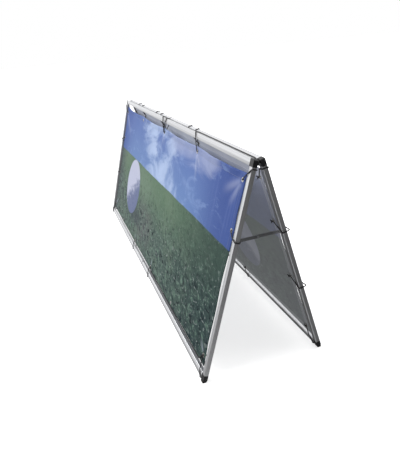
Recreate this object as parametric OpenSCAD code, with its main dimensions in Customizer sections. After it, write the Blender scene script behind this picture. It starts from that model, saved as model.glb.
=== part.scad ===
// Folding A-frame banner stand: two aluminium frames hinged along the top, each with a banner
// laced into it by elastic ties. Origin on the ground under the middle, X along the stand.

/* [Frame] */
// Length of the stand
frame_len = 2500; // [2200:50:2800]
// Height of a frame, measured up its slope
frame_h = 1000; // [980:10:1060]
// Width of the aluminium profile, seen from outside
face_w = 30; // [29:1:32]
// Thickness of the profile, from the outer to the inner face
bar_t = 20; // [19:1:22]
// Wall of the hollow profile
wall = 1.6; // [1.2:0.1:2]
// Width of the sloped lip along the banner side of the outer face
lip_w = 13; // [11:0.5:15]
// Depth that the lip falls away from the outer face
lip_drop = 3; // [2:0.5:4]
// Lean of each frame from upright when open
lean = 16.3; // [15.5:0.1:17]
// Gap between the two top edges when open
top_gap = 6.5; // [6.5:0.5:8]

/* [Banner] */
// Gap from the side bars to the banner
side_gap = 20; // [19:1:22]
// Gap from the top rail to the banner
upper_gap = 33; // [30:1:38]
// Gap from the bottom rail to the banner
lower_gap = 16; // [16:1:18]
// Thickness of the banner fabric
cloth_t = 0.8; // [0.5:0.1:1]
// Depth of the banner behind the outer face of the frame
cloth_d = 12; // [11.5:0.5:12.5]
// Distance of an eyelet from the edge of the banner
eyelet_in = 26; // [24:1:28]
// Radius of the hole through an eyelet
eyelet_r = 6; // [6:0.5:7]

/* [Ties] */
// Diameter of the elastic cord
cord_d = 4.5; // [4:0.1:4.5]

/* [Stays] */
// Height of the stay pivots, measured up the slope
stay_s = 656; // [640:1:658]
// Width of a stay bar
stay_w = 14; // [12:1:15]
// Thickness of a stay bar
stay_t = 3; // [2:0.5:3]

/* [Feet and hinge] */
// Thickness of a foot at its thin inner edge
foot_min = 6; // [6:0.5:9]
// Distance of the hinge axis below the top of the frames
hinge_drop = 14; // [13:1:15]
// Radius of the hinge pins
pin_r = 2.5; // [2:0.5:3]

/* [Hidden] */
$fn = 48;

// Left and right ends of the stand, and the colours
LEFT = -1;
RIGHT = 1;
SHINY = "gainsboro";
DARK = "dimgray";
CORD = "black";

// Distances along the stand
half_len = frame_len / 2;
stile_in = half_len - face_w;
seam = 8;

// The lean of a frame: its outer bottom edge lies base_half from the middle and lift off the ground
base_half = frame_h * sin(lean) + bar_t * cos(lean) + top_gap / 2;
lift = bar_t * sin(lean) + foot_min;

// The hinge axis, as a depth behind the outer face and a height up the slope of either frame
axis_s = frame_h - hinge_drop;
axis_off = (top_gap / 2 + hinge_drop * sin(lean)) / cos(lean);
axis_d = bar_t + axis_off;
knuckle_r = axis_off - 0.5;
run_fit = 0.05;
front_lugs = [[2, 9], [21, 28]];
rear_lugs = [[9.6, 20.4]];

// Corner tongues, rivets and spigots
tongue_len = 50;
tongue_fit = 0.15;
tongue_face = face_w - 2 * wall - 2 * tongue_fit;
tongue_deep = bar_t - lip_drop - 2 * wall - 2 * tongue_fit;
tongue_d = (bar_t + lip_drop) / 2;
rivet_r = 2;
rivet_head_r = 3.6;
rivet_head_h = 1.2;
rivet_at = 26;
stile_rivets_s = [face_w + rivet_at, frame_h - face_w - rivet_at];

// The banner and its eyelets
cloth_x = stile_in - side_gap;
cloth_s0 = face_w + lower_gap;
cloth_s1 = frame_h - face_w - upper_gap;
eye_x = cloth_x - eyelet_in;
eye_top = cloth_s1 - eyelet_in;
eye_bottom = cloth_s0 + eyelet_in - 6;
corner_low = eye_bottom + 22;
corner_high = eye_top - 6;
flange_r = eyelet_r + 4;
flange_t = 1;

// Eyelets along each edge, as fractions of the length or of the height, and those of them that
// have a tie: the long cord starts at the third one of the front top edge
front_top_at = [-0.24, -0.002, 0.25];
front_bottom_at = [-0.312, -0.122, 0.069, 0.26];
rear_top_at = [-0.328, -0.106, 0.178];
rear_bottom_at = [-0.312, -0.064, 0.185];
front_side_at = [[LEFT, 0.385], [LEFT, 0.69], [RIGHT, 0.69]];
rear_side_at = [for (m = [LEFT, RIGHT], f = [0.395, 0.693]) [m, f]];
front_top_tied = [front_top_at[1]];
front_bottom_tied = [front_bottom_at[1], front_bottom_at[2]];

// The cord, and how far its middle stays off a bar
cord_r = cord_d / 2;
off = cord_r + 0.3;
strand = cord_r + 0.5;
through = 4;
knot_r = 4;

// The stays: pivots level with the knee, halves of equal length lapped beside the stile
stay_d = bar_t / 2;
stay_half = base_half - stay_s * sin(lean) - stay_d * cos(lean);
stay_z = lift + stay_s * cos(lean) - stay_d * sin(lean);
stay_pin_r = 2.5;
stay_head_r = 5;
stay_head_t = 1.4;
lap = 0.4;
front_stay_x = stile_in - 2.2;
rear_stay_x = front_stay_x - stay_t - lap;

// ---- placing -------------------------------------------------------------------------------

// A frame is drawn upright: X along the stand, Y its depth inwards, Z up its slope
module front() translate([0, -base_half, lift]) rotate([-lean, 0, 0]) children();
module rear() mirror([0, 1, 0]) front() children();

// Mirrors a piece drawn at the right end to the left one
module at_end(end) if (end == LEFT) mirror([1, 0, 0]) children(); else children();

// Turns a piece drawn at the foot of a frame over, to its top
module at_top() translate([0, 0, frame_h]) mirror([0, 0, 1]) children();

// ---- aluminium bars ------------------------------------------------------------------------

// Depth of the outer surface at y across the face, where y = face_w is the banner side
function lip_at(y) = lip_drop * max(0, y - (face_w - lip_w)) / lip_w;

// Outline of the bar, with X its depth and Y across its face, its corners eased
module outline() {
    ease = 1;
    polygon([
        [0, ease], [0, face_w - lip_w], [lip_at(face_w - ease), face_w - ease],
        [lip_drop + ease, face_w], [bar_t - ease, face_w], [bar_t, face_w - ease],
        [bar_t, ease], [bar_t - ease, 0], [ease, 0]]);
}

// Section of the hollow bar: the wall follows the slope of the lip
module profile() {
    inside = face_w - wall;
    difference() {
        outline();
        polygon([
            [wall, wall], [wall, face_w - lip_w], [wall + lip_at(inside), inside],
            [bar_t - wall, inside], [bar_t - wall, wall]]);
    }
}

module rivet_hole() cylinder(r = rivet_r + run_fit, h = 3 * wall, center = true);

// Turns a drilling tool to go in through the inner face at the given place
module inner_face(x, s) translate([x, bar_t, s]) rotate([-90, 0, 0]) children();

// Half of a bottom rail, at the right, from the splice to the corner block
module bottom_rail(end) at_end(end) color(SHINY) difference() {
    translate([seam / 2, 0, 0]) rotate([90, 0, 90]) linear_extrude(stile_in - seam / 2) profile();
    for (x = [rivet_at, stile_in - rivet_at]) inner_face(x, face_w / 2) rivet_hole();
}
module top_rail(end) at_top() bottom_rail(end);

// A stile at the right, from the lower to the upper corner block, drilled for its stay pivot
module stile(end) at_end(end) color(SHINY) difference() {
    translate([half_len, 0, face_w]) rotate([0, 0, 90]) linear_extrude(frame_h - 2 * face_w) profile();
    for (s = stile_rivets_s) inner_face(half_len - face_w / 2, s) rivet_hole();
    translate([stile_in, stay_d, stay_s]) rotate([0, 90, 0])
        cylinder(r = stay_pin_r + run_fit, h = 3 * wall, center = true);
}

// ---- plastic corners, splices and feet -----------------------------------------------------

// A tongue that fills the bar, growing along +Z from the origin, centred on the bar
module tongue(len) translate([-tongue_face / 2, -tongue_deep / 2, 0])
    cube([tongue_face, tongue_deep, len]);

// Blind hole that takes a rivet in the inner side of a tongue
rivet_deep = 4;
module rivet_socket() translate([0, 0, -wall - rivet_deep - 2])
    cylinder(r = rivet_r + run_fit, h = wall + rivet_deep + 4);

// Corner block at the lower right, its outer corner cut off, with a tongue into each bar
module corner_block() {
    cut = 3;
    difference() {
        union() {
            translate([0, bar_t, 0]) rotate([90, 0, 0]) linear_extrude(bar_t) polygon([
                [stile_in, 0], [half_len - cut, 0], [half_len, cut],
                [half_len, face_w], [stile_in, face_w]]);
            translate([stile_in, tongue_d, face_w / 2]) rotate([0, -90, 0]) tongue(tongue_len);
            translate([half_len - face_w / 2, tongue_d, face_w]) tongue(tongue_len);
        }
        inner_face(stile_in - rivet_at, face_w / 2) rivet_socket();
        inner_face(half_len - face_w / 2, face_w + rivet_at) rivet_socket();
    }
}

// Hinge lug over the range [from, to], measured in from the end of the stand
module lug(range) translate([half_len - range[1], 0, 0]) {
    long = range[1] - range[0];
    translate([0, axis_d, axis_s]) rotate([0, 90, 0]) cylinder(r = knuckle_r, h = long);
    translate([0, bar_t - 1, axis_s - knuckle_r]) cube([long, axis_off + 1, 2 * knuckle_r]);
}
module pin_bore() translate([half_len - face_w - 5, axis_d, axis_s]) rotate([0, 90, 0])
    cylinder(r = pin_r + run_fit, h = face_w + 10);

// Upper corners: the front block carries the two outer lugs, the rear one the middle lug
module top_corner(end, lugs) at_end(end) color(DARK) difference() {
    union() {
        at_top() corner_block();
        for (range = lugs) lug(range);
    }
    pin_bore();
}

// Lower corners: drilled underneath for the plug of the foot
plug_r = 4;
plug_len = 8;
module bottom_corner(end) at_end(end) color("black") difference() {
    corner_block();
    translate([half_len - face_w / 2, tongue_d, -1]) cylinder(r = plug_r + run_fit, h = plug_len + 2);
}

// Rubber foot: a wedge whose underside is level with the ground when the stand is open
function ground_s(d) = (d * sin(lean) - lift) / cos(lean);
module foot(end) at_end(end) color("black") {
    inset = 0.8;
    end_inset = inset + 3;
    translate([stile_in + inset, 0, 0]) rotate([90, 0, 90])
        linear_extrude(face_w - inset - end_inset) polygon([
            [inset, 0], [bar_t - inset, 0],
            [bar_t - inset, ground_s(bar_t - inset)], [inset, ground_s(inset)]]);
    translate([half_len - face_w / 2, tongue_d, -1]) cylinder(r = plug_r, h = plug_len + 1);
}

// Splice in the middle of a long rail: a collar with a tongue in each half
module splice() color("black") difference() {
    union() {
        translate([-seam / 2, 0, 0]) rotate([90, 0, 90]) linear_extrude(seam) outline();
        translate([-tongue_len, tongue_d, face_w / 2]) rotate([0, 90, 0]) tongue(2 * tongue_len);
    }
    for (x = [-rivet_at, rivet_at]) inner_face(x, face_w / 2) rivet_socket();
}

// ---- rivets and pins -----------------------------------------------------------------------

// A rivet with a low domed head on the inner face and a shank into the tongue
module rivet(x, s) inner_face(x, s) {
    dome_r = (rivet_head_r * rivet_head_r + rivet_head_h * rivet_head_h) / (2 * rivet_head_h);
    translate([0, 0, -wall - rivet_deep]) cylinder(r = rivet_r, h = wall + rivet_deep + 0.5);
    intersection() {
        translate([0, 0, rivet_head_h - dome_r]) sphere(dome_r);
        translate([0, 0, 0.02]) cylinder(r = rivet_head_r, h = rivet_head_h);
    }
}
module rivets() color("silver") for (m = [LEFT, RIGHT]) {
    for (s = [face_w / 2, frame_h - face_w / 2], x = [rivet_at, stile_in - rivet_at]) rivet(m * x, s);
    for (s = stile_rivets_s) rivet(m * (half_len - face_w / 2), s);
}

// Hinge pin along X, with a head at the end of the stand and a peened end inside
module hinge_pin(end) at_end(end) front() color("silver")
    translate([half_len, axis_d, axis_s]) rotate([0, -90, 0]) {
        head_t = 1.5;
        head_at = front_lugs[0][0] - 0.1 - head_t;
        peen_at = front_lugs[1][1] + 0.1;
        translate([0, 0, head_at]) cylinder(r = pin_r + 1.5, h = head_t);
        translate([0, 0, head_at + 0.6]) cylinder(r = pin_r, h = peen_at - head_at);
        translate([0, 0, peen_at]) cylinder(r = pin_r + 1, h = 1.4);
    }

// Pivot rivet of a stay: bucked inside the stile, with a spacer, through the bar at bar_x
module stay_pivot(bar_x) translate([0, stay_d, stay_s]) rotate([0, -90, 0]) {
    bar_in = stile_in - bar_x;
    buck_r = 4;
    buck_t = 1.5;
    translate([0, 0, -stile_in - wall - buck_t - 0.1]) cylinder(r = buck_r, h = buck_t);
    translate([0, 0, -stile_in - wall - 1]) cylinder(r = stay_pin_r, h = wall + bar_in + stay_t + 2);
    translate([0, 0, -stile_in + 0.05]) cylinder(r = stay_head_r, h = bar_in - 0.15);
    translate([0, 0, -bar_x + stay_t + 0.1]) cylinder(r = stay_head_r, h = stay_head_t);
}
module stay_pivots(bar_x) color("silver") for (end = [LEFT, RIGHT]) at_end(end) stay_pivot(bar_x);

// ---- stays ---------------------------------------------------------------------------------

// Half of a stay, flat bar with round ends from its stile pivot at y = -stay_half to the knee
module half_bar(bar_x) translate([bar_x, 0, stay_z]) rotate([0, -90, 0]) difference() {
    union() {
        for (y = [-stay_half, 0]) translate([0, y, 0]) cylinder(r = stay_w / 2, h = stay_t);
        translate([-stay_w / 2, -stay_half, 0]) cube([stay_w, stay_half, stay_t]);
    }
    for (y = [-stay_half, 0]) translate([0, y, -1]) cylinder(r = stay_pin_r + run_fit, h = stay_t + 2);
}
module front_stay(end) at_end(end) color(DARK) half_bar(front_stay_x);
module rear_stay(end) at_end(end) color(DARK) mirror([0, 1, 0]) half_bar(rear_stay_x);

// Knee rivet, in two parts that meet between the bars: the head and shank turn with the front
// bar, the tail with the rear one
module knee_rivet(end) at_end(end) color("silver")
    translate([front_stay_x, 0, stay_z]) rotate([0, -90, 0]) {
        translate([0, 0, -stay_head_t - 0.1]) cylinder(r = stay_head_r, h = stay_head_t);
        translate([0, 0, -0.5]) cylinder(r = stay_pin_r, h = stay_t + 0.5);
    }
module knee_tail(end) at_end(end) color("silver")
    translate([rear_stay_x, 0, stay_z]) rotate([0, -90, 0]) {
        cylinder(r = stay_pin_r, h = stay_t + 0.5);
        translate([0, 0, stay_t + 0.1]) cylinder(r = stay_head_r, h = stay_head_t);
    }

// ---- banner --------------------------------------------------------------------------------

// Places of all eyelets of a frame as [x, s]: top edge, bottom edge, then both sides and corners
function eyelet_places(top_at, bottom_at, side_at) = concat(
    [for (f = top_at) [f * frame_len, eye_top]],
    [for (f = bottom_at) [f * frame_len, eye_bottom]],
    [for (p = side_at) [p[0] * eye_x, p[1] * frame_h]],
    [for (m = [LEFT, RIGHT], s = [corner_low, corner_high]) [m * eye_x, s]]);
front_eyelet_places = eyelet_places(front_top_at, front_bottom_at, front_side_at);
rear_eyelet_places = eyelet_places(rear_top_at, rear_bottom_at, rear_side_at);

module cloth(places) difference() {
    translate([-cloth_x, cloth_d - cloth_t / 2, cloth_s0])
        cube([2 * cloth_x, cloth_t, cloth_s1 - cloth_s0]);
    for (p = places) translate([p.x, cloth_d, p.y]) rotate([90, 0, 0])
        cylinder(r = eyelet_r + 1.2, h = 4, center = true);
}

// Eyelets: a barrel through the banner with a flange on each side of it
module eyelets(places) color("silver") for (p = places) translate([p.x, cloth_d, p.y]) rotate([90, 0, 0])
    difference() {
        union() {
            cylinder(r = eyelet_r + 1, h = cloth_t + 2 * flange_t, center = true);
            for (m = [-1, 1]) translate([0, 0, m * (cloth_t / 2 + 0.05 + flange_t / 2)])
                cylinder(r = flange_r, h = flange_t, center = true);
        }
        cylinder(r = eyelet_r, h = 10, center = true);
    }

// ---- elastic cords -------------------------------------------------------------------------

// A straight stretch of cord, eight-sided, running on a little past both bends to fill them
module cord_run(a, b) {
    v = b - a;
    over = cord_r / 2;
    translate(a) rotate([0, acos(v.z / norm(v)), atan2(v.y, v.x)]) translate([0, 0, -over])
        cylinder(r = cord_r, h = norm(v) + 2 * over, $fn = 8);
}

// A cord through the points given; a closed one joins its ends
module cord(points, closed = false) color(CORD) {
    n = len(points);
    for (i = [0 : closed ? n - 1 : n - 2]) cord_run(points[i], points[(i + 1) % n]);
}

// One loop of a tie as [q, d, v]: q outwards from the eyelet across a bar that spans q1 to q2,
// d inwards, v along the bar; it leans from v_eye to v_out outside and v_back inside
function loop(q1, q2, v_eye, v_out, v_back, slack = 0) = let (mid = (v_eye + v_out) / 2) [
    [0, cloth_d - through, v_eye], [q1 - 2, -off, mid], [q2 + off, -off - slack, v_out],
    [q2 + off, bar_t + off, v_out], [q1 - 2, bar_t + off, v_back], [0, cloth_d + through, v_eye]];

// Turns a loop's points to the edge of the frame that its eyelet lies on
function on_top(e, loop) = [for (p = loop) [e.x + p[2], p[1], e.y + p[0]]];
function on_bottom(e, loop) = [for (p = loop) [e.x + p[2], p[1], e.y - p[0]]];
function on_right(e, loop) = [for (p = loop) [e.x + p[0], p[1], e.y + p[2]]];

// Ties of two loops that lean apart over the top rail by spread
module top_ties(top_at, spread) for (f = top_at, m = [-1, 1]) {
    q1 = frame_h - face_w - eye_top;
    cord(on_top([f * frame_len, eye_top],
        loop(q1, q1 + face_w, m * strand, m * spread, m * spread * 0.8)), true);
}

// A tie of one loop round the bottom rail, leaning along it from v_eye to v_out
module bottom_tie(x, s, v_eye, v_out)
    cord(on_bottom([x, s], loop(s - face_w, s, v_eye, v_out, v_out / 2)), true);
module bottom_ties(bottom_at) {
    for (f = bottom_at) bottom_tie(f * frame_len, eye_bottom, -strand, 12);
    for (end = [LEFT, RIGHT]) at_end(end)
        bottom_tie(eye_x, corner_low, strand, stile_in - 6 - eye_x);
}

// Ties round a stile, and those under the upper corner block at the ends in corner_ends
module side_ties(side_at, slack, corner_ends) {
    q1 = stile_in - eye_x;
    q2 = half_len - eye_x;
    dip = 26;
    for (p = side_at) at_end(p[0])
        cord(on_right([eye_x, p[1] * frame_h], loop(q1, q2, 0, -dip, -dip / 5, slack)), true);
    rise = under_block - corner_high;
    for (end = corner_ends) at_end(end)
        cord(on_right([eye_x, corner_high], loop(q1, q2, 0, rise, rise - 6)), true);
}

module knot(p) color(CORD) translate(p) sphere(knot_r, $fn = 24);

// Where a cord goes round a stile just under the upper corner block, and how far a knot sits
// behind the banner
under_block = frame_h - face_w - 8;
knot_d = cloth_d + 8;

// Long cord of the front frame: knotted behind an eyelet, up the face of the top rail and over it,
// along the groove between the two top rails, down behind the corner, round the stile and to the
// corner eyelet
module top_lacing() {
    x0 = front_top_at[2] * frame_len;
    over_x = x0 - 41;
    dip_x = x0 - 58;
    drop_x = stile_in - 7.5;
    sits = 1.5;
    groove_d = bar_t + top_gap / 2 * cos(lean) - sits * sin(lean);
    groove_s = frame_h + top_gap / 2 * sin(lean) + sits * cos(lean);
    start = [x0, knot_d, eye_top];
    finish = [eye_x, knot_d, corner_high];
    cord([start, [x0, cloth_d - through, eye_top], [(x0 + over_x) / 2, -off, frame_h - face_w - 2],
        [over_x, -off, frame_h + off], [dip_x, groove_d, groove_s], [drop_x, groove_d, groove_s],
        [drop_x, bar_t + off, under_block - 4], [half_len + off, bar_t + off, under_block],
        [half_len + off, -off, under_block], [stile_in - 2, -off, corner_high + 26],
        [eye_x, cloth_d - through, corner_high], finish]);
    knot(start);
    knot(finish);
}

// Long cord of the front frame along the bottom rail, from an eyelet to the lower corner eyelet
module bottom_lacing() {
    x0 = front_bottom_at[2] * frame_len + strand;
    x1 = eye_x - strand;
    slope = 30;
    low_d = cloth_d - cloth_t / 2 - cord_r - 0.85;
    low_s = cloth_s0 + 3;
    start = [x0, knot_d, eye_bottom];
    finish = [x1, knot_d, corner_low];
    cord([start, [x0, cloth_d - through, eye_bottom], [x0 + slope, low_d, low_s],
        [x1 - slope, low_d, low_s], [x1, cloth_d - through, corner_low], finish]);
    knot(start);
    knot(finish);
}

// ---- the nodes -----------------------------------------------------------------------------

front() top_rail(LEFT);  // front_top_rail_left
front() top_rail(RIGHT);  // front_top_rail_right
front() bottom_rail(LEFT);  // front_bottom_rail_left
front() bottom_rail(RIGHT);  // front_bottom_rail_right
front() stile(LEFT);  // front_stile_left
front() stile(RIGHT);  // front_stile_right
front() at_top() splice();  // front_top_splice
front() splice();  // front_bottom_splice
front() top_corner(LEFT, front_lugs);  // front_top_corner_left
front() top_corner(RIGHT, front_lugs);  // front_top_corner_right
front() bottom_corner(LEFT);  // front_bottom_corner_left
front() bottom_corner(RIGHT);  // front_bottom_corner_right
front() foot(LEFT);  // front_foot_left
front() foot(RIGHT);  // front_foot_right
front() rivets();  // front_rivets
front() stay_pivots(front_stay_x);  // front_stay_pivots
front() color("steelblue") cloth(front_eyelet_places);  // front_banner
front() eyelets(front_eyelet_places);  // front_eyelets
front() top_ties(front_top_tied, 44);  // front_top_ties
front() bottom_ties(front_bottom_tied);  // front_bottom_ties
front() side_ties(front_side_at, 0, [LEFT]);  // front_side_ties
front() top_lacing();  // front_top_lacing
front() bottom_lacing();  // front_bottom_lacing
rear() top_rail(LEFT);  // rear_top_rail_left
rear() top_rail(RIGHT);  // rear_top_rail_right
rear() bottom_rail(LEFT);  // rear_bottom_rail_left
rear() bottom_rail(RIGHT);  // rear_bottom_rail_right
rear() stile(LEFT);  // rear_stile_left
rear() stile(RIGHT);  // rear_stile_right
rear() at_top() splice();  // rear_top_splice
rear() splice();  // rear_bottom_splice
rear() top_corner(LEFT, rear_lugs);  // rear_top_corner_left
rear() top_corner(RIGHT, rear_lugs);  // rear_top_corner_right
rear() bottom_corner(LEFT);  // rear_bottom_corner_left
rear() bottom_corner(RIGHT);  // rear_bottom_corner_right
rear() foot(LEFT);  // rear_foot_left
rear() foot(RIGHT);  // rear_foot_right
rear() rivets();  // rear_rivets
rear() stay_pivots(rear_stay_x);  // rear_stay_pivots
rear() color("lightsteelblue") cloth(rear_eyelet_places);  // rear_banner
rear() eyelets(rear_eyelet_places);  // rear_eyelets
rear() top_ties(rear_top_at, 60);  // rear_top_ties
rear() bottom_ties(rear_bottom_at);  // rear_bottom_ties
rear() side_ties(rear_side_at, 10, [LEFT, RIGHT]);  // rear_side_ties
hinge_pin(LEFT);  // hinge_pin_left
hinge_pin(RIGHT);  // hinge_pin_right
front_stay(LEFT);  // front_stay_left
front_stay(RIGHT);  // front_stay_right
rear_stay(LEFT);  // rear_stay_left
rear_stay(RIGHT);  // rear_stay_right
knee_rivet(LEFT);  // knee_rivet_left
knee_rivet(RIGHT);  // knee_rivet_right
knee_tail(LEFT);  // knee_tail_left
knee_tail(RIGHT);  // knee_tail_right
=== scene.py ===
"""Looks of a folding banner stand: two aluminium frames hinged along the top, with laced banners."""

from math import ceil, cos, e, exp, pi, radians, sin

import bpy
from mathutils import Matrix, Vector


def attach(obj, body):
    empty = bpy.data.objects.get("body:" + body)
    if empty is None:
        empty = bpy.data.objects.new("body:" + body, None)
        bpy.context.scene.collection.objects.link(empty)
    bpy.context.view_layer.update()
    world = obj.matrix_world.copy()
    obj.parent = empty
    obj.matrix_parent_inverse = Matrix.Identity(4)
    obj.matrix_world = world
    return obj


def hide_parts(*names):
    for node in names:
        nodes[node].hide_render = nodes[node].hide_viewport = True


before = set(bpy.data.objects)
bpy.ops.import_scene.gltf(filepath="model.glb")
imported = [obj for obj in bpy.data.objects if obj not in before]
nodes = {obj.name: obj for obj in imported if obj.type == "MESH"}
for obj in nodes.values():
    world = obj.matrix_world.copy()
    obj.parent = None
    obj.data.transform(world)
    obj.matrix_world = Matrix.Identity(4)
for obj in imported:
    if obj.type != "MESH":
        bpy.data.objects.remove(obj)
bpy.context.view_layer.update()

# ---- sizes in metres, as in the part ---------------------------------------------------------

FRONT, REAR = -1, 1
FRAME_LEN = 2.5
FRAME_H = 1.0
FACE_W = 0.030
BAR_T = 0.020
TOP_GAP = 0.0065
LEAN = radians(16.3)
HALF_LEN = FRAME_LEN / 2
STILE_IN = HALF_LEN - FACE_W
BASE_HALF = FRAME_H * sin(LEAN) + BAR_T * cos(LEAN) + TOP_GAP / 2
LIFT = BAR_T * sin(LEAN) + 0.006

# Edges of a banner, its depth behind the outer face, its thickness, its eyelets and their holes
CLOTH_X = 1.200
CLOTH_LOW = 0.046
CLOTH_HIGH = 0.937
CLOTH_D = 0.012
CLOTH_T = 0.0008
EYE_X = 1.174
EYE_TOP = 0.911
EYE_BOTTOM = 0.066
CORNER_LOW = 0.088
CORNER_HIGH = 0.905
HOLE_R = 0.0082

# Width of the sewn hem, how far in its seam lies, and half the width of the seam
HEM_W = 0.034
SEAM_IN = 0.031
SEAM_HALF = 0.0007

# Above the fold the edge of a stretched top hem lies HEM_RISE higher than on the flat sheet.
# On the front banner only the far corner is stretched, from FAR_CORNER_X outwards.
HEM_FOLD = EYE_TOP + 0.012
HEM_RISE = 0.013
FAR_CORNER_X = -1.02

# Radius of the cord, and how far its middle lies from the bars and from the middle of an eyelet
CORD_R = 0.00225
OFF = CORD_R + 0.0003
STRAND = CORD_R + 0.0005
# How far a cord runs on past the banner in an eyelet, the radius of its bends, the depth of knots
THROUGH = 0.004
BEND_R = 0.005
KNOT_D = CLOTH_D + 0.008
# Where cords pass below the upper corner blocks
UNDER_BLOCK = FRAME_H - FACE_W - 0.008

# Eyelets along the edges, and those of the bottom edge that have a tie
TOP_AT = {FRONT: [-0.600, -0.005, 0.625], REAR: [-0.820, -0.265, 0.445]}
BOTTOM_AT = {FRONT: [-0.780, -0.305, 0.1725, 0.650], REAR: [-0.780, -0.160, 0.4625]}
SIDE_AT = {(FRONT, -1): [0.385, 0.690], (FRONT, 1): [0.690],
           (REAR, -1): [0.395, 0.693], (REAR, 1): [0.395, 0.693]}
BOTTOM_TIED = {FRONT: BOTTOM_AT[FRONT][1:3], REAR: BOTTOM_AT[REAR]}

BODY = {FRONT: "front_frame", REAR: "rear_frame"}
NAME = {FRONT: "front", REAR: "rear"}


def on_frame(side, x, d, s):
    """Point of a frame at x along it, d inwards from its outer face and s up its slope."""
    y = -BASE_HALF + s * sin(LEAN) + d * cos(LEAN)
    return Vector((x, -y * side, LIFT + s * cos(LEAN) - d * sin(LEAN)))


def put_in_scene(name, data):
    """New object of the scene that shows the data."""
    made = bpy.data.objects.new(name, data)
    bpy.context.scene.collection.objects.link(made)
    return made


# ---- camera and light ------------------------------------------------------------------------

def set_camera():
    """Camera above the near end, looking along the stand and down at it."""
    viewpoint = (2.7123, -0.7215, 1.3900)
    azimuth, dip, roll = radians(72.459), radians(23.973), radians(-4.952)
    forward = Vector((-sin(azimuth) * cos(dip), cos(azimuth) * cos(dip), -sin(dip)))
    level = forward.cross(Vector((0, 0, 1))).normalized()
    upright = level.cross(forward)
    across = cos(roll) * level + sin(roll) * upright
    up = cos(roll) * upright - sin(roll) * level
    lens = bpy.data.cameras.new("camera")
    lens.lens = 33.415
    lens.sensor_width = 36
    lens.clip_end = 200
    camera = put_in_scene("camera", lens)
    turn = Matrix((across, up, -forward)).transposed().to_4x4()
    camera.matrix_world = Matrix.Translation(viewpoint) @ turn
    bpy.context.scene.camera = camera


def add_sun(name, towards, power, softness):
    """Soft lamp far off in the direction given, its softness in degrees."""
    lamp = bpy.data.lights.new(name, "SUN")
    lamp.energy = power
    lamp.angle = radians(softness)
    sun = put_in_scene(name, lamp)
    sun.rotation_mode = "QUATERNION"
    sun.rotation_quaternion = Vector(towards).to_track_quat("Z", "Y")


def set_surroundings():
    """White backdrop, with soft light that is brightest from the front left and above."""
    brightest = (-0.72, -0.42, 0.55)
    world = bpy.data.worlds.new("studio")
    world.use_nodes = True
    bpy.context.scene.world = world
    tree = world.node_tree
    tree.nodes.clear()
    place = tree.nodes.new("ShaderNodeTexCoord")
    facing = tree.nodes.new("ShaderNodeVectorMath")
    facing.operation = "DOT_PRODUCT"
    facing.inputs[1].default_value = brightest
    ramp = tree.nodes.new("ShaderNodeMapRange")
    ramp.interpolation_type = "SMOOTHSTEP"
    ramp.inputs["From Min"].default_value = 0.30
    ramp.inputs["From Max"].default_value = 0.95
    ramp.inputs["To Min"].default_value = 0.09
    ramp.inputs["To Max"].default_value = 1.45
    ray = tree.nodes.new("ShaderNodeLightPath")
    studio = tree.nodes.new("ShaderNodeBackground")
    backdrop = tree.nodes.new("ShaderNodeBackground")
    backdrop.inputs["Strength"].default_value = 1.0
    backdrop.inputs["Color"].default_value = (1, 1, 1, 1)
    choose = tree.nodes.new("ShaderNodeMixShader")
    output = tree.nodes.new("ShaderNodeOutputWorld")
    tree.links.new(place.outputs["Generated"], facing.inputs[0])
    tree.links.new(facing.outputs["Value"], ramp.inputs["Value"])
    tree.links.new(ramp.outputs["Result"], studio.inputs["Strength"])
    tree.links.new(ray.outputs["Is Camera Ray"], choose.inputs[0])
    tree.links.new(studio.outputs[0], choose.inputs[1])
    tree.links.new(backdrop.outputs[0], choose.inputs[2])
    tree.links.new(choose.outputs[0], output.inputs[0])


set_camera()
set_surroundings()
add_sun("key", (-0.42, -0.62, 0.80), 2.5, 50)
add_sun("fill", (-0.10, 0.75, 0.65), 1.6, 70)
# Stands in for the light that the floor would send back
add_sun("floor_bounce", (0.55, -0.35, -0.76), 0.95, 60)
bpy.context.scene.view_settings.view_transform = "Standard"


# ---- finishes --------------------------------------------------------------------------------

def tint(red, green, blue):
    """Colour from the 0 to 255 values of a colour chart."""
    def linear(c):
        c = c / 255
        return c / 12.92 if c <= 0.04045 else ((c + 0.055) / 1.055) ** 2.4
    return (linear(red), linear(green), linear(blue), 1)


class Wire:
    """A socket of a finish. Arithmetic on it adds Math nodes."""

    def __init__(self, finish, socket):
        self.finish = finish
        self.socket = socket

    def work(self, operation, first, second=0.0):
        """Math node on one or two numbers."""
        return self.finish.add("ShaderNodeMath", {"operation": operation}, {0: first, 1: second})

    def __add__(self, other):
        return self.work("ADD", self, other)

    __radd__ = __add__

    def __sub__(self, other):
        return self.work("SUBTRACT", self, other)

    def __rsub__(self, other):
        return self.work("SUBTRACT", other, self)

    def __mul__(self, other):
        return self.work("MULTIPLY", self, other)

    __rmul__ = __mul__

    def __truediv__(self, other):
        return self.work("DIVIDE", self, other)

    def __pow__(self, other):
        return self.work("POWER", self, other)

    def __rpow__(self, other):
        return self.work("POWER", other, self)

    def __mod__(self, other):
        return self.work("FLOORED_MODULO", self, other)

    def __lt__(self, other):
        return self.work("LESS_THAN", self, other)

    def __abs__(self):
        return self.work("ABSOLUTE", self)


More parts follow.
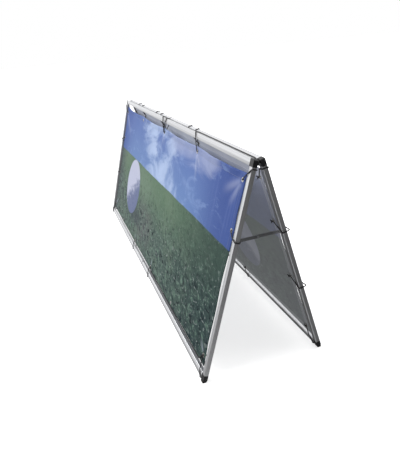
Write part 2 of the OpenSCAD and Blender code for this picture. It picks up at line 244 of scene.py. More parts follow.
class Finish:
    """A material with one main shader, and short ways to the nodes that shape it."""

    def __init__(self, name, colour, roughness, metallic=0.0, **fixed):
        self.material = bpy.data.materials.new(name)
        self.material.use_nodes = True
        self.nodes = self.material.node_tree.nodes
        self.shader = self.nodes["Principled BSDF"]
        self.heights = []
        self.set("Base Color", colour)
        self.set("Roughness", roughness)
        self.set("Metallic", metallic)
        for socket, value in fixed.items():
            self.set(socket.replace("_", " "), value)

    def fill(self, socket, value):
        """Links a wire to a socket, or sets the socket to a plain value."""
        if isinstance(value, Wire):
            self.material.node_tree.links.new(value.socket, socket)
        else:
            socket.default_value = value

    def set(self, socket, value):
        """The same for a socket of the main shader."""
        self.fill(self.shader.inputs[socket], value)

    def add(self, kind, settings, inputs, output=0):
        """Any node: its settings first, then the values or wires of its sockets."""
        node = self.nodes.new(kind)
        for key, value in settings.items():
            setattr(node, key, value)
        for key, value in inputs.items():
            self.fill(node.inputs[key], value)
        return Wire(self, node.outputs[output])

    def place(self):
        """Place in the space of the object, which is the shared frame in metres."""
        return self.add("ShaderNodeTexCoord", {}, {}, "Object")

    def stored(self, name):
        """What a mesh holds at its points under this name."""
        return self.add("ShaderNodeAttribute", {"attribute_name": name}, {}, "Vector")

    def upright(self, side):
        """Place on a frame as if it stood upright, so that Z runs up its slope."""
        turn = (-side * LEAN, 0, 0)
        return self.add("ShaderNodeMapping", {}, {"Vector": self.place(), "Rotation": turn})

    def scaled(self, place, by):
        """Place stretched by three factors."""
        return self.add("ShaderNodeVectorMath", {"operation": "MULTIPLY"}, {0: place, 1: by})

    def parts(self, place):
        """The three numbers of a vector."""
        node = self.nodes.new("ShaderNodeSeparateXYZ")
        self.fill(node.inputs[0], place)
        return [Wire(self, socket) for socket in node.outputs]

    def joined(self, x, y, z=0.0):
        """A vector of three numbers."""
        return self.add("ShaderNodeCombineXYZ", {}, {0: x, 1: y, 2: z})

    def noise(self, place, scale, detail=3, roughness=0.5, distortion=0.0):
        """Cloudy pattern from 0 to 1, with about scale patches to each unit of place."""
        return self.add("ShaderNodeTexNoise", {}, {
            "Vector": place, "Scale": scale, "Detail": detail, "Roughness": roughness,
            "Distortion": distortion})

    def cells(self, place, scale):
        """Distance from the middle of the nearest cell, with scale cells to each unit of place."""
        return self.add("ShaderNodeTexVoronoi", {}, {"Vector": place, "Scale": scale})

    def ease(self, value, low, high, to_low=0.0, to_high=1.0):
        """Smooth step of value from low to high."""
        return self.add("ShaderNodeMapRange", {"interpolation_type": "SMOOTHSTEP"}, {
            "Value": value, "From Min": low, "From Max": high, "To Min": to_low, "To Max": to_high})

    def blend(self, factor, first, second):
        """Colour from first to second."""
        return self.add("ShaderNodeMix", {"data_type": "RGBA"}, {
            0: factor, 6: first, 7: second}, 2)

    def sine(self, value):
        """Sine of a wire in radians."""
        return value.work("SINE", value)

    def relief(self, height, distance, strength=1.0):
        """Raises the surface by height, over what was raised before."""
        inputs = {"Height": height, "Distance": distance, "Strength": strength}
        if self.heights:
            inputs["Normal"] = self.heights[-1]
        self.heights.append(self.add("ShaderNodeBump", {}, inputs))
        self.set("Normal", self.heights[-1])


def aluminium(name, side, along):
    """Satin anodised bar, with fine draw lines along it and faint handling marks."""
    finish = Finish(name, tint(216, 217, 220), 0.36, 0.92)
    place = finish.upright(side)
    lengthwise = (1.2, 330, 330) if along == "x" else (330, 330, 1.2)
    draw = finish.noise(finish.scaled(place, lengthwise), 1.0, 4, 0.6)
    broad = (0.5, 60, 60) if along == "x" else (60, 60, 0.5)
    band = finish.noise(finish.scaled(place, broad), 1.0, 2)
    marks = finish.noise(place, 14, 5, 0.65, 0.4)
    rubbed = finish.ease(marks, 0.56, 0.74)
    tone = finish.blend(finish.ease(draw, 0.3, 0.7), tint(202, 203, 206), tint(228, 229, 231))
    tone = finish.blend(rubbed * 0.35, tone, tint(178, 180, 184))
    finish.set("Base Color", tone)
    finish.set("Roughness", 0.30 + draw * 0.10 + band * 0.08 + rubbed * 0.10)
    finish.relief(draw, 0.00006, 0.5)
    return finish.material


def moulded(name, shade, roughness):
    """Black moulded plastic with a fine spark-eroded texture and paler scuffs."""
    finish = Finish(name, shade, roughness)
    place = finish.place()
    grain = finish.noise(place, 1500, 2, 0.6)
    patches = finish.noise(place, 60, 4, 0.6)
    scuffs = finish.ease(finish.noise(finish.scaled(place, (1, 4, 1)), 160, 5, 0.7), 0.60, 0.72)
    tone = finish.blend(finish.ease(patches, 0.3, 0.7), shade, tint(44, 44, 46))
    finish.set("Base Color", finish.blend(scuffs * 0.5, tone, tint(92, 92, 94)))
    finish.set("Roughness", roughness - 0.08 + patches * 0.14 + scuffs * 0.12)
    finish.relief(grain, 0.00012, 0.5)
    return finish.material


def rubber(name):
    """Matt rubber, dusty towards the ground."""
    finish = Finish(name, tint(30, 30, 30), 0.85)
    place = finish.place()
    height = finish.parts(place)[2]
    pores = finish.noise(place, 900, 3, 0.6)
    patches = finish.noise(place, 130, 4, 0.6)
    dust = (1 - finish.ease(height, 0.0, 0.012)) * finish.ease(patches, 0.35, 0.7)
    finish.set("Base Color", finish.blend(dust * 0.6, tint(26, 26, 27), tint(112, 106, 98)))
    finish.set("Roughness", 0.74 + pores * 0.14)
    finish.relief(pores, 0.0002, 0.5)
    return finish.material


def plated(name, bright, dull, roughness):
    """Plated metal of rivets, pins and eyelets, slightly tarnished."""
    finish = Finish(name, bright, roughness, 1.0)
    place = finish.place()
    cloudy = finish.noise(place, 240, 5, 0.65)
    fine = finish.noise(place, 1800, 3, 0.6)
    finish.set("Base Color", finish.blend(finish.ease(cloudy, 0.42, 0.7), bright, dull))
    finish.set("Roughness", roughness - 0.06 + cloudy * 0.16 + fine * 0.06)
    finish.relief(fine, 0.00005, 0.4)
    return finish.material


def stay_bar(name):
    """Dull zinc-coated strip steel with rolled lines along it."""
    finish = Finish(name, tint(140, 141, 144), 0.42, 0.7)
    place = finish.place()
    rolled = finish.noise(finish.scaled(place, (400, 3, 400)), 1.0, 4, 0.6)
    spangle = finish.cells(place, 260)
    tone = finish.blend(finish.ease(rolled, 0.3, 0.7), tint(122, 123, 126), tint(150, 151, 154))
    finish.set("Base Color", finish.blend(spangle * 0.25, tone, tint(168, 169, 172)))
    finish.set("Roughness", 0.34 + rolled * 0.16)
    finish.relief(rolled, 0.00006, 0.5)
    return finish.material


def braid(name):
    """Black elastic cord in a braided sheath with painted groove shade; the mesh stores the turn and the
    length.
    """
    finish = Finish(name, tint(20, 20, 21), 0.7, 0.0, Sheen_Weight=0.1, Sheen_Roughness=0.4)
    turn_x, turn_y, along = finish.parts(finish.stored("run"))
    angle = turn_y.work("ARCTAN2", turn_y, turn_x)
    pitch = 2 * pi / 0.0022
    one_way = finish.sine(along * pitch + angle * 4)
    other_way = finish.sine(along * pitch - angle * 4)
    plait = one_way.work("MAXIMUM", one_way, other_way)
    fleck = finish.ease(finish.noise(finish.place(), 700, 3), 0.6, 0.72)
    # Painted shade and highlight: the plait is darker in its grooves and paler on its crests.
    tone = finish.blend(finish.ease(plait, -0.6, 0.9), tint(8, 8, 8), tint(32, 32, 34))
    finish.set("Base Color", finish.blend(fleck * 0.2, tone, tint(84, 84, 88)))
    finish.set("Roughness", 0.62 + fleck * 0.15)
    finish.relief(plait, 0.0003, 0.6)
    return finish.material


# ---- the printed banners ---------------------------------------------------------------------

# Tension creases as (x, s, angle, length, width) in the plane of a banner, in metres and degrees
CREASES = {
    FRONT: [
        (-1.172, 0.902, -38, 0.32, 0.011), (-1.170, 0.897, -62, 0.18, 0.009),
        (-0.005, 0.900, -100, 0.10, 0.009), (0.000, 0.902, -64, 0.10, 0.007),
        (0.625, 0.902, -74, 0.16, 0.010), (0.630, 0.904, -44, 0.10, 0.008),
        (1.170, 0.900, -154, 0.20, 0.016), (1.170, 0.896, -120, 0.16, 0.013),
        (1.168, 0.095, 140, 0.08, 0.009),
        (0.1725, 0.075, 80, 0.06, 0.007), (-0.305, 0.075, 100, 0.05, 0.006),
        (-1.168, 0.095, 42, 0.12, 0.009)],
    REAR: [
        (-1.172, 0.902, -40, 0.26, 0.010), (1.172, 0.902, -142, 0.26, 0.010),
        (-0.820, 0.902, -80, 0.12, 0.008), (-0.265, 0.902, -98, 0.12, 0.008),
        (0.445, 0.902, -85, 0.12, 0.008), (1.166, 0.693, -165, 0.12, 0.007),
        (-1.168, 0.095, 42, 0.14, 0.008), (1.168, 0.095, 138, 0.14, 0.008),
        (0.4625, 0.075, 84, 0.08, 0.007), (-0.160, 0.075, 96, 0.08, 0.007)],
}


def along_crease(x, s, x0, s0, angle):
    """Distances along and across a crease from its start, for wires as well as for plain numbers."""
    a = radians(angle)
    ahead = (x - x0) * cos(a) + (s - s0) * sin(a)
    aside = (s - s0) * cos(a) - (x - x0) * sin(a)
    return ahead, aside


def crease_tone(finish, x, s, crease):
    """How strongly one crease shows at x and s, tapering away from its eyelet."""
    x0, s0, angle, length, width = crease
    ahead, aside = along_crease(x, s, x0, s0, angle)
    spread = 1 + ahead * (1.2 / length)
    narrow = e ** ((aside / width) * (aside / width) / spread * -1.0)
    rising = finish.ease(ahead, 0.0, length * 0.12)
    return narrow * rising * (1 - finish.ease(ahead, length * 0.3, length))


def sky(finish, u, v):
    """Blue evening sky with a slanting bank of pale cloud and a lavender veil beside it."""
    high = finish.ease(v, 0.60, 0.94)
    base = finish.blend(high, tint(106, 134, 186), tint(92, 116, 176))
    base = finish.blend((1 - finish.ease(u, -1.20, -0.70)) * 0.85, base, tint(72, 94, 160))
    base = finish.blend(finish.ease(u, 0.55, 1.10) * 0.90, base, tint(64, 84, 146))
    edge = finish.ease(u, -1.20, -0.85) * (1 - finish.ease(u, 0.95, 1.15))
    billow = finish.noise(finish.joined(u * 0.9, v * 2.0), 3.4, 7, 0.62, 0.9)
    bank = finish.ease(abs(u + v * 0.8 - 0.58), 0.08, 0.74, 1.0, 0.0)
    core = finish.ease(billow * 1.5 + bank * 0.42, 0.88, 1.34)
    right = finish.ease(v, 0.74, 0.92) * finish.ease(abs(u - 0.52), 0.24, 0.58, 1.0, 0.0)
    veil = finish.ease(billow + right * 0.62, 0.70, 1.10)
    shreds = finish.noise(finish.joined(u * 1.6, v * 3.6), 3.0, 6, 0.62, 1.2)
    wisps = finish.ease(shreds, 0.50, 0.66)
    colour = finish.blend(wisps * edge * 0.45, base, tint(140, 164, 210))
    colour = finish.blend(veil * edge * 0.60, colour, tint(174, 182, 212))
    colour = finish.blend(core * edge * (0.35 + bank * 0.50), colour, tint(184, 202, 234))
    streaks = finish.ease(finish.noise(finish.joined(u * 26, v * 1.6), 1.0, 3), 0.52, 0.72)
    return finish.blend(streaks * finish.ease(u, 0.80, 1.0) * 0.40, colour, tint(104, 122, 178))


def meadow(finish, u, v):
    """Field of long grass, pale and soft near the horizon, dark and flecked close by."""
    near = 1 - finish.ease(v, 0.22, 0.58)
    soft = finish.noise(finish.joined(u, v * 1.3), 4.5, 5, 0.6, 0.3)
    base = finish.blend(near, tint(94, 120, 98), tint(76, 94, 88))
    base = finish.blend(finish.ease(soft, 0.42, 0.72) * 0.45, base, tint(108, 128, 108))
    base = finish.blend(finish.ease(u, 0.20, 1.15) * 0.75, base, tint(36, 52, 56))
    base = finish.blend((1 - finish.ease(u, -1.2, -0.9)) * 0.7, base, tint(72, 80, 88))
    earth = finish.ease(abs(u + 0.16), 0.05, 0.30, 1.0, 0.0)
    earth = earth * finish.ease(abs(v - 0.24), 0.03, 0.22, 1.0, 0.0)
    base = finish.blend(earth * finish.ease(soft, 0.30, 0.60) * 0.5, base, tint(106, 100, 108))
    haze = finish.ease(abs(u + 0.28), 0.05, 0.34, 1.0, 0.0)
    haze = haze * finish.ease(abs(v - 0.50), 0.02, 0.14, 1.0, 0.0)
    base = finish.blend(haze * 0.40, base, tint(120, 142, 124))
    lean = finish.joined(u * 0.60 + v * 0.20, v * 0.85)
    blades = finish.noise(lean, 36, 5, 0.70, 0.8)
    tips = finish.noise(lean, 64, 3, 0.62, 0.5)
    light = finish.ease(blades, 0.53, 0.64)
    dark = 1 - finish.ease(blades, 0.36, 0.48)
    strength = 0.22 + near * 0.78
    colour = finish.blend(dark * strength, base, tint(16, 30, 36))
    colour = finish.blend(light * strength * 0.75, colour, tint(108, 134, 120))
    return finish.blend(finish.ease(tips, 0.58, 0.68) * strength * 0.65, colour, tint(158, 168, 166))


def ball(finish, u, v, colour):
    """A plain pale ball in the grass, lit from the upper left, with its soft shadow."""
    across, up = u + 0.62, v - 0.395
    reach = (across * across + up * up) ** 0.5
    shadow = ((across - 0.16) * (across - 0.16) * 0.42 + (up + 0.17) * (up + 0.17) * 3.4) ** 0.5
    colour = finish.blend((1 - finish.ease(shadow, 0.05, 0.17)) * 0.65, colour, tint(58, 66, 74))
    shade = finish.ease(across * 0.55 - up * 0.85, -0.16, 0.17)
    ripple = finish.noise(finish.joined(u * 1.2 + v * 0.5, v * 3.2), 9, 4, 0.6, 0.5)
    turned = finish.ease(shade + (ripple - 0.5) * 0.9, 0.30, 0.80)
    face = finish.blend(turned, tint(190, 194, 216), tint(94, 106, 142))
    dimples = finish.cells(finish.joined(u, v), 46)
    face = finish.blend(finish.ease(dimples, 0.1, 0.6) * 0.14, face, tint(170, 174, 204))
    return finish.blend(1 - finish.ease(reach, 0.205, 0.213), colour, face)


def picture(finish, u, v):
    """The whole print at u along it and v up it."""
    far = finish.noise(finish.joined(u, 0.0), 5, 3) * 0.012 + 0.599
    ground = 1 - finish.ease(v - far, -0.003, 0.004)
    colour = finish.blend(ground, sky(finish, u, v), meadow(finish, u, v))
    return ball(finish, u, v, colour)


def hem_and_weave(finish, x, s):
    """Sewn hem, its stitches and the fine weave under the print."""
    from_end = CLOTH_X - abs(x)
    from_top = CLOTH_HIGH - s
    from_bottom = s - CLOTH_LOW
    inset = from_end.work("MINIMUM", from_end, from_top.work("MINIMUM", from_top, from_bottom))
    hem = 1 - finish.ease(inset, HEM_W - 0.0005, HEM_W + 0.0005)
    seam = abs(inset - SEAM_IN) < SEAM_HALF
    at_end = from_end < HEM_W
    along = at_end * s + (1 - at_end) * x
    stitch = seam * (((along + 2) * 200) % 1 < 0.7)
    weave = finish.sine(x * (2 * pi / 0.0011)) * finish.sine(s * (2 * pi / 0.0011))
    finish.relief(weave, 0.00005, 0.5)
    finish.relief(hem, 0.0005, 0.8)
    finish.relief(stitch, 0.0003, 0.8)
    return hem, stitch


def banner_outside(side):
    """Printed face of a banner, nearly matt, with painted highlights along its creases."""
    finish = Finish(NAME[side] + "_print", tint(120, 140, 180), 0.42, 0.0, Specular_IOR_Level=0.04)
    x, s, _ = finish.parts(finish.stored("flat"))
    u = x * -side
    colour = picture(finish, u, s)
    crease_and_highlight = crease_tone(finish, x, s, CREASES[side][0])
    for crease in CREASES[side][1:]:
        crease_and_highlight = crease_and_highlight.work("MAXIMUM", crease_and_highlight, crease_tone(finish, x, s, crease))
    hem, stitch = hem_and_weave(finish, x, s)
    # Painted highlight: the pale colour along the creases stands in for light caught on them.
    colour = finish.blend(crease_and_highlight * 0.24, colour, tint(206, 212, 232))
    colour = finish.blend(hem * 0.10, colour, tint(40, 44, 60))
    colour = finish.blend(stitch * 0.2, colour, tint(206, 208, 216))
    smears = finish.noise(finish.joined(x, s), 6, 5, 0.6)
    finish.set("Base Color", colour)
    finish.set("Roughness", 0.36 + smears * 0.14 - crease_and_highlight * 0.08)
    rumple = finish.noise(finish.joined(x, s * 1.4), 7, 4, 0.55, 0.4)
    finish.relief(rumple, 0.006, 0.35)
    finish.relief(crease_and_highlight, 0.0012, 0.6)
    return finish.material


def banner_inside(side):
    """Unprinted back of a banner: grey polyester, with the backlit picture showing through it painted in.

    A low emission, strongest along the top edge, stands in for daylight through the cloth.
    """
    finish = Finish(NAME[side] + "_backing", tint(150, 154, 160), 0.72, 0.0, Sheen_Weight=0.15)
    x, s, _ = finish.parts(finish.stored("flat"))
    # Painted light: the picture seen through the cloth by light from behind is mixed into its colour.
    through = finish.add("ShaderNodeHueSaturation", {}, {
        "Saturation": 0.80, "Value": 1.0, "Color": picture(finish, x * -side, s)})
    colour = finish.blend(0.62, tint(156, 162, 166), through)
    hem, stitch = hem_and_weave(finish, x, s)
    colour = finish.blend(hem * 0.35, colour, tint(196, 199, 204))
    colour = finish.blend(stitch * 0.5, colour, tint(232, 232, 234))
    near_top = finish.ease(s, 0.870, 0.915)
    finish.set("Emission Color", finish.blend(near_top, tint(104, 104, 106), tint(190, 192, 200)))
    finish.set("Emission Strength", 0.30)
    cloudy = finish.noise(finish.joined(x, s), 9, 5, 0.6)
    dusty = finish.ease(cloudy, 0.4, 0.8)
    finish.set("Base Color", finish.blend(dusty * 0.15, colour, tint(118, 122, 128)))
    finish.set("Roughness", 0.66 + cloudy * 0.14)
    return finish.material


def eyelet_places(side):
    """Centres of the eyelets of one banner, as (x, s)."""
    return ([(x, EYE_TOP) for x in TOP_AT[side]] + [(x, EYE_BOTTOM) for x in BOTTOM_AT[side]]
            + [(m * EYE_X, s) for m in (-1, 1) for s in SIDE_AT[side, m] + [CORNER_LOW, CORNER_HIGH]])


def grid_lines(low, high, pitch, marks):
    """Evenly spaced lines from low to high, with closer ones beside each mark."""
    count = ceil((high - low) / pitch)
    lines = [low + (high - low) * i / count for i in range(count + 1)]
    close = [m + k * 0.004 for m in marks for k in range(-3, 4)]
    close = sorted(c for c in close if low + 0.003 < c < high - 0.003)
    kept = []
    for c in close:
        if not kept or c - kept[-1] > 0.0025:
            kept.append(c)
    lines = [c for c in lines if c in (low, high) or all(abs(c - k) > 0.003 for k in kept)]
    return sorted(lines + kept)


def sag_between(places, at, depth):
    """How far an edge hangs back at a place between two neighbouring eyelets."""
    full_span = 0.6
    for a, b in zip(places, places[1:]):
        if a <= at <= b:
            t = (at - a) / (b - a)
            return depth * min(1.0, (b - a) / full_span) * 4 * t * (1 - t)
    return 0.0


def smooth(t):
    """Smooth step from 0 to 1, for plain numbers."""
    t = max(0.0, min(1.0, t))
    return t * t * (3 - 2 * t)


def cloth_point(side, x, s):
    """Where a point of the flat banner lies once it is laced: (x, depth, s)."""
    top = sorted([-EYE_X, EYE_X] + TOP_AT[side])
    bottom = sorted([-EYE_X, EYE_X] + BOTTOM_AT[side])
    ends = sorted([CORNER_LOW, CORNER_HIGH] + SIDE_AT[side, 1 if x > 0 else -1])
    near_top = max(0.0, 1 - (CLOTH_HIGH - s) / 0.16) ** 2
    hem_top = max(0.0, s - HEM_FOLD) / (CLOTH_HIGH - HEM_FOLD)
    near_bottom = max(0.0, 1 - (s - CLOTH_LOW) / 0.12) ** 2
    near_end = max(0.0, 1 - (CLOTH_X - abs(x)) / 0.12) ** 2
    s_new = s + sag_between(bottom, x, 0.004) * near_bottom
    if side == FRONT:
        fall = sag_between(top, x, 0.009 if x > top[1] else 0.0045)
        s_new += HEM_RISE * hem_top * smooth((FAR_CORNER_X - x) / 0.12) - fall * near_top
    else:
        s_new += HEM_RISE * hem_top
    x_new = x - (1 if x > 0 else -1) * sag_between(ends, s, 0.006) * near_end
    quiet = min(1.0, min(((x - a) ** 2 + (s - b) ** 2) ** 0.5 for a, b in eyelet_places(side)) / 0.07)
    curl = near_top * sin(x * 23 + 1.3 * side) * 0.0022 + near_end * sin(s * 21 + x) * 0.0016
    wave = 0.0012 * sin(x * 4.1 + side) + 0.0008 * sin(x * 9.7)
    billow = sin(pi * (s - CLOTH_LOW) / (CLOTH_HIGH - CLOTH_LOW)) * wave
    depth = (curl + billow) * quiet * quiet * (1 - 0.8 * near_bottom)
    for x0, s0, angle, length, width in CREASES[side]:
        ahead, aside = along_crease(x, s, x0, s0, angle)
        if 0 < ahead < length:
            ridge = exp(-(aside / width / 1.3) ** 2) * smooth(ahead / length * 5)
            depth -= 0.0022 * ridge * (1 - smooth(ahead / length)) * (1 - 0.8 * near_bottom)
    return x_new, CLOTH_D + depth, s_new


def make_banner(side):
    """Banner as one closed sheet with a print outside, a grey back and a hole at each eyelet."""
    holes = eyelet_places(side)
    pitch = 0.010
    hole_reach = 0.016
    columns = grid_lines(-CLOTH_X, CLOTH_X, pitch, sorted({x for x, s in holes}))
    rows = grid_lines(CLOTH_LOW, CLOTH_HIGH, pitch, sorted({s for x, s in holes}))
    number, flat = {}, []

    def corner(i, j):
        if (i, j) not in number:
            number[i, j] = len(flat)
            flat.append([columns[i], rows[j]])
        return number[i, j]

    quads = []
    for i in range(len(columns) - 1):
        for j in range(len(rows) - 1):
            x, s = (columns[i] + columns[i + 1]) / 2, (rows[j] + rows[j + 1]) / 2
            if all((x - a) ** 2 + (s - b) ** 2 > HOLE_R ** 2 for a, b in holes):
                quads.append([corner(i, j), corner(i + 1, j), corner(i + 1, j + 1), corner(i, j + 1)])
    sides = {}
    for quad in quads:
        for a, b in zip(quad, quad[1:] + quad[:1]):
            sides[a, b] = True
    rim = [(a, b) for a, b in sides if (b, a) not in sides]
    for a in {a for a, b in rim}:
        for hx, hs in holes:
            away = Vector((flat[a][0] - hx, flat[a][1] - hs))
            if away.length < hole_reach:
                flat[a] = [hx + away.normalized().x * HOLE_R, hs + away.normalized().y * HOLE_R]
    laced = [cloth_point(side, x, s) for x, s in flat]
    outer = [on_frame(side, x, d - CLOTH_T / 2, s) for x, d, s in laced]
    inner = [on_frame(side, x, d + CLOTH_T / 2, s) for x, d, s in laced]
    n = len(flat)
    faces = quads + [[v + n for v in reversed(quad)] for quad in quads]
    faces += [[b, a, a + n, b + n] for a, b in rim]
    if side == REAR:
        faces = [list(reversed(face)) for face in faces]
    mesh = bpy.data.meshes.new(NAME[side] + "_banner_cloth")
    mesh.from_pydata(outer + inner, [], faces)
    mesh.materials.append(banner_outside(side))
    mesh.materials.append(banner_inside(side))
    for k, polygon in enumerate(mesh.polygons):
        polygon.use_smooth = k < 2 * len(quads)
        polygon.material_index = 1 if len(quads) <= k < 2 * len(quads) else 0
    store = mesh.attributes.new("flat", "FLOAT_VECTOR", "POINT")
    store.data.foreach_set("vector", [c for x, s in flat + flat for c in (x, s, 0.0)])
    cloth = put_in_scene(NAME[side] + "_banner_cloth", mesh)
    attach(cloth, BODY[side])
    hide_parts(NAME[side] + "_banner")


# ---- elastic cords ---------------------------------------------------------------------------

def rounded(points, radius, closed):
    """The route with each bend turned into a short curve."""
    steps = 6
    shortest = 0.0004
    points = [Vector(p) for p in points]
    count = len(points)
    route = []
    for i, p in enumerate(points):
        if not closed and i in (0, count - 1):
            route.append(p)
            continue
        back, ahead = points[i - 1] - p, points[(i + 1) % count] - p
        start = p + back.normalized() * min(radius, back.length * 0.48)
        end = p + ahead.normalized() * min(radius, ahead.length * 0.48)
        for k in range(steps + 1):
            t = k / steps
            route.append(start * (1 - t) ** 2 + p * 2 * t * (1 - t) + end * t * t)
    kept = [route[0]]
    for p in route[1:]:
        if (p - kept[-1]).length > shortest:
            kept.append(p)
    if closed and (kept[0] - kept[-1]).length < shortest:
        kept.pop()
    return kept


def add_tube(build, route, radius, closed, sides=12, pinch=0.0):
    """Sweeps a round cord along a route into the lists of build, tapering its ends by pinch."""
    verts, faces, run = build
    count = len(route)
    first = len(verts)
    along = 0.0
    normal = None
    for i, p in enumerate(route):
        before = route[i - 1] if closed or i else p
        after = route[(i + 1) % count] if closed or i < count - 1 else p
        ahead = (after - before).normalized()
        if normal is None:
            normal = ahead.orthogonal().normalized()
        normal = (normal - ahead * normal.dot(ahead)).normalized()
        binormal = ahead.cross(normal)
        along += (p - route[i - 1]).length if i else 0.0
        size = radius * (1 - pinch if not closed and i in (0, count - 1) else 1)
        for k in range(sides):
            a = 2 * pi * k / sides
            verts.append(p + (normal * cos(a) + binormal * sin(a)) * size)
            run.append((cos(a), sin(a), along))
    rings = count if closed else count - 1
    shift = 0
    if closed:
        last = verts[first + (count - 1) * sides:first + count * sides]
        shift = min(range(sides), key=lambda k: (last[0] - verts[first + k]).length)
    for i in range(rings):
        a = first + i * sides
        wraps = closed and i == count - 1
        b = first if wraps else a + sides
        turn = shift if wraps else 0
        for k in range(sides):
            n = (k + 1) % sides
            faces.append((a + k, a + n, b + (n + turn) % sides, b + (k + turn) % sides))
    if not closed:
        faces.append(tuple(reversed(range(first, first + sides))))
        faces.append(tuple(range(first + (count - 1) * sides, first + count * sides)))


def add_knot(build, side, x, d, s, tails):
    """Overhand knot in the cord, with the cut ends given as offsets in x, depth and s."""
    size = 0.00115
    steps = 48
    coil = []
    for i in range(steps):
        t = 2 * pi * i / steps
        a = (sin(t) + 2 * sin(2 * t)) * size
        b = (cos(t) - 2 * cos(2 * t)) * size
        c = -sin(3 * t) * size * 1.7
        coil.append(on_frame(side, x + a, d + c, s + b))
    add_tube(build, coil, CORD_R * 0.82, True, 10)
    for dx, dd, ds in tails:
        route = [(x, d, s), (x + dx * 0.5, d + dd * 0.5 + 0.001, s + ds * 0.4), (x + dx, d + dd, s + ds)]
        tail = rounded([on_frame(side, *p) for p in route], 0.006, False)
        add_tube(build, tail, CORD_R * 0.9, False, 10, 0.2)


def loop(q1, q2, v_eye, v_out, v_back, slack=0.0):
    """One loop of a tie: q outwards from the eyelet over a bar, depth, v along the bar."""
    middle = (v_eye + v_out) / 2
    outer = [(0, CLOTH_D - THROUGH, v_eye), (q1 - 0.002, -OFF, middle), (q2 + OFF, -OFF - slack, v_out)]
    inner = [(q2 + OFF, BAR_T + OFF, v_out), (q1 - 0.002, BAR_T + OFF, v_back),
             (0, CLOTH_D + THROUGH, v_eye)]
    return outer + inner


def add_tie(build, side, points):
    """Closed loop of cord through the points, with rounded bends."""
    add_tube(build, rounded([on_frame(side, *p) for p in points], BEND_R, True), CORD_R, True)


def finish_cords(build, name, side, node):
    """Makes one piece of the cords in build, in place of their CAD node."""
    verts, faces, run = build
    mesh = bpy.data.meshes.new(name)
    mesh.from_pydata(verts, [], faces)
    mesh.materials.append(CORD_FINISH)
    for polygon in mesh.polygons:
        polygon.use_smooth = len(polygon.vertices) == 4
    store = mesh.attributes.new("run", "FLOAT_VECTOR", "POINT")
    store.data.foreach_set("vector", [c for point in run for c in point])
    cords = put_in_scene(name, mesh)
    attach(cords, BODY[side])
    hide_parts(node)


def make_top_ties(side, places, spread):
    """Ties of two loops that lean apart over the top rail."""
    build = ([], [], [])
    q1 = FRAME_H - FACE_W - EYE_TOP
    for x in places:
        for m in (-1, 1):
            route = loop(q1, q1 + FACE_W, m * STRAND, m * spread, m * spread * 0.8)
            add_tie(build, side, [(x + v, d, EYE_TOP + q) for q, d, v in route])
        add_knot(build, side, x, KNOT_D, EYE_TOP - 0.005, [(-0.010, 0.0, -0.014), (0.012, 0.001, -0.011)])
    finish_cords(build, NAME[side] + "_top_cords", side, NAME[side] + "_top_ties")


def make_bottom_ties(side):
    """Ties of one loop round the bottom rail, those at the corners leaning to the corner block."""
    build = ([], [], [])
    corner_v = STILE_IN - 0.006 - EYE_X
    ties = [(x, EYE_BOTTOM, -STRAND, 0.012) for x in BOTTOM_TIED[side]]
    ties += [(m * EYE_X, CORNER_LOW, m * STRAND, m * corner_v) for m in (-1, 1)]
    for x, s, v_eye, v_out in ties:
        route = loop(s - FACE_W, s, v_eye, v_out, v_out / 2)
        add_tie(build, side, [(x + v, d, s - q) for q, d, v in route])
        add_knot(build, side, x + v_eye, KNOT_D, s - 0.002, [(-0.009, 0.0, 0.012), (0.010, 0.001, 0.012)])
    finish_cords(build, NAME[side] + "_bottom_cords", side, NAME[side] + "_bottom_ties")


def make_side_ties(side, slack, corner_ends):
    """Ties round the stiles, slack off their outer face, and ties at the upper corner_ends."""
    build = ([], [], [])
    q1, q2 = STILE_IN - EYE_X, HALF_LEN - EYE_X
    dip = 0.026
    rise = UNDER_BLOCK - CORNER_HIGH
    ties = [(m, s, loop(q1, q2, 0, -dip, -dip / 5, slack)) for m in (-1, 1) for s in SIDE_AT[side, m]]
    ties += [(m, CORNER_HIGH, loop(q1, q2, 0, rise, rise - 0.006)) for m in corner_ends]
    for m, s, route in ties:
        add_tie(build, side, [(m * (EYE_X + q), d, s + v) for q, d, v in route])
        tails = [(-m * 0.010, 0.0, -0.012), (-m * 0.013, 0.001, 0.004)]
        add_knot(build, side, m * (EYE_X - 0.003), KNOT_D, s, tails)
    finish_cords(build, NAME[side] + "_side_cords", side, NAME[side] + "_side_ties")


def make_top_lacing():
    """Long cord from the third eyelet over the top rail, along the groove and round the corner."""
    build = ([], [], [])
    x0 = TOP_AT[FRONT][2]
    over_x, dip_x, drop_x = x0 - 0.041, x0 - 0.058, STILE_IN - 0.0075
    groove_d = BAR_T + TOP_GAP / 2 * cos(LEAN) - 0.0015 * sin(LEAN)
    groove_s = FRAME_H + TOP_GAP / 2 * sin(LEAN) + 0.0015 * cos(LEAN)
    route = [
        (x0, KNOT_D, EYE_TOP), (x0, CLOTH_D - THROUGH, EYE_TOP),
        ((x0 + over_x) / 2, -OFF, FRAME_H - FACE_W - 0.002), (over_x, -OFF, FRAME_H + OFF),
        (dip_x, groove_d, groove_s), (drop_x, groove_d, groove_s),
        (drop_x, BAR_T + OFF, UNDER_BLOCK - 0.004), (HALF_LEN + OFF, BAR_T + OFF, UNDER_BLOCK),
        (HALF_LEN + OFF, -OFF, UNDER_BLOCK), (STILE_IN - 0.002, -OFF, CORNER_HIGH + 0.026),
        (EYE_X, CLOTH_D - THROUGH, CORNER_HIGH), (EYE_X, KNOT_D, CORNER_HIGH)]
    add_tube(build, rounded([on_frame(FRONT, *p) for p in route], BEND_R, False), CORD_R, False)
    for x, s in ((x0, EYE_TOP), (EYE_X, CORNER_HIGH)):
        add_knot(build, FRONT, x, KNOT_D + 0.001, s, [(-0.006, 0.001, -0.018)])
    finish_cords(build, "front_top_long_cord", FRONT, "front_top_lacing")


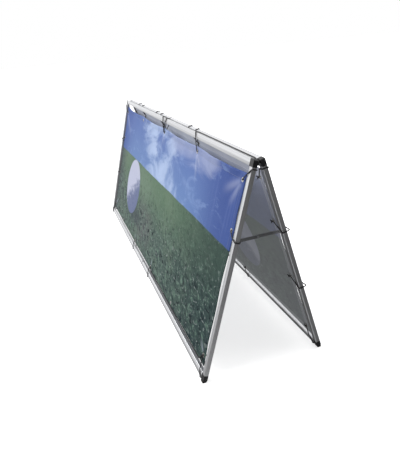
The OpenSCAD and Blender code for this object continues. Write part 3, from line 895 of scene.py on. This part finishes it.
def make_bottom_lacing():
    """Long cord along the bottom edge of the front banner to its lower corner."""
    build = ([], [], [])
    x0, x1 = BOTTOM_AT[FRONT][2] + STRAND, EYE_X - STRAND
    low_d = CLOTH_D - CLOTH_T / 2 - CORD_R - 0.00085
    low_s = CLOTH_LOW + 0.003
    route = [
        (x0, KNOT_D, EYE_BOTTOM), (x0, CLOTH_D - THROUGH, EYE_BOTTOM), (x0 + 0.030, low_d, low_s),
        (x1 - 0.030, low_d, low_s), (x1, CLOTH_D - THROUGH, CORNER_LOW), (x1, KNOT_D, CORNER_LOW)]
    add_tube(build, rounded([on_frame(FRONT, *p) for p in route], BEND_R, False), CORD_R, False)
    for x, s in ((x0, EYE_BOTTOM), (x1, CORNER_LOW)):
        add_knot(build, FRONT, x, KNOT_D + 0.001, s, [(-0.006, 0.001, 0.016)])
    finish_cords(build, "front_bottom_long_cord", FRONT, "front_bottom_lacing")


# ---- dressing the frame ----------------------------------------------------------------------

def dress(node, material, edge=0.0):
    """Gives a part its finish, and eases its sharp edges where edge is the width of the round."""
    part = nodes[node]
    part.data.materials.clear()
    part.data.materials.append(material)
    if edge:
        weld = part.modifiers.new("weld", "WELD")
        weld.merge_threshold = 0.00002
        soft = part.modifiers.new("soft_edges", "BEVEL")
        soft.width = edge
        soft.segments = 2
        soft.limit_method = "ANGLE"
        soft.angle_limit = radians(40)
        soft.harden_normals = True


CORD_FINISH = braid("black_elastic")
plastic = moulded("black_plastic", tint(26, 26, 28), 0.46)
tread = rubber("black_rubber")
steel = plated("zinc_plated_steel", tint(196, 198, 202), tint(150, 152, 158), 0.34)
nickel = plated("nickel_eyelet", tint(214, 212, 206), tint(160, 158, 152), 0.26)
strip = stay_bar("dark_strip_steel")

for side in (FRONT, REAR):
    rail = aluminium(NAME[side] + "_rail_aluminium", side, "x")
    stile = aluminium(NAME[side] + "_stile_aluminium", side, "s")
    for end in ("left", "right"):
        for level in ("top", "bottom"):
            dress(f"{NAME[side]}_{level}_rail_{end}", rail)
            dress(f"{NAME[side]}_{level}_corner_{end}", plastic, 0.0008)
        dress(f"{NAME[side]}_stile_{end}", stile)
        dress(f"{NAME[side]}_foot_{end}", tread, 0.0008)
        dress(f"{NAME[side]}_stay_{end}", strip, 0.0004)
    dress(NAME[side] + "_top_splice", plastic)
    dress(NAME[side] + "_bottom_splice", plastic)
    dress(NAME[side] + "_rivets", steel)
    dress(NAME[side] + "_stay_pivots", steel)
    dress(NAME[side] + "_eyelets", nickel)
    make_banner(side)
    make_bottom_ties(side)
for end in ("left", "right"):
    dress("hinge_pin_" + end, steel)
    dress("knee_rivet_" + end, steel)
    dress("knee_tail_" + end, steel)
make_top_ties(FRONT, TOP_AT[FRONT][1:2], 0.044)
make_top_ties(REAR, TOP_AT[REAR], 0.060)
make_side_ties(FRONT, 0.0, [-1])
make_side_ties(REAR, 0.010, [-1, 1])
make_top_lacing()
make_bottom_lacing()


# ---- floor -----------------------------------------------------------------------------------

def make_floor():
    """Wide pale floor under the feet, which glows a little but sends no light back to the stand."""
    finish = Finish("pale_floor", tint(246, 246, 246), 0.7)
    cloudy = finish.noise(finish.place(), 0.8, 3)
    finish.set("Base Color", finish.blend(cloudy, tint(244, 244, 244), tint(249, 249, 249)))
    finish.set("Emission Color", tint(250, 250, 250))
    finish.set("Emission Strength", 0.75)
    reach = 60
    mesh = bpy.data.meshes.new("floor")
    mesh.from_pydata([(-reach, -reach, 0), (reach, -reach, 0), (reach, reach, 0), (-reach, reach, 0)],
                     [], [(0, 1, 2, 3)])
    mesh.materials.append(finish.material)
    floor = put_in_scene("floor", mesh)
    floor.visible_glossy = False
    floor.visible_diffuse = False
    floor.visible_shadow = False


make_floor()
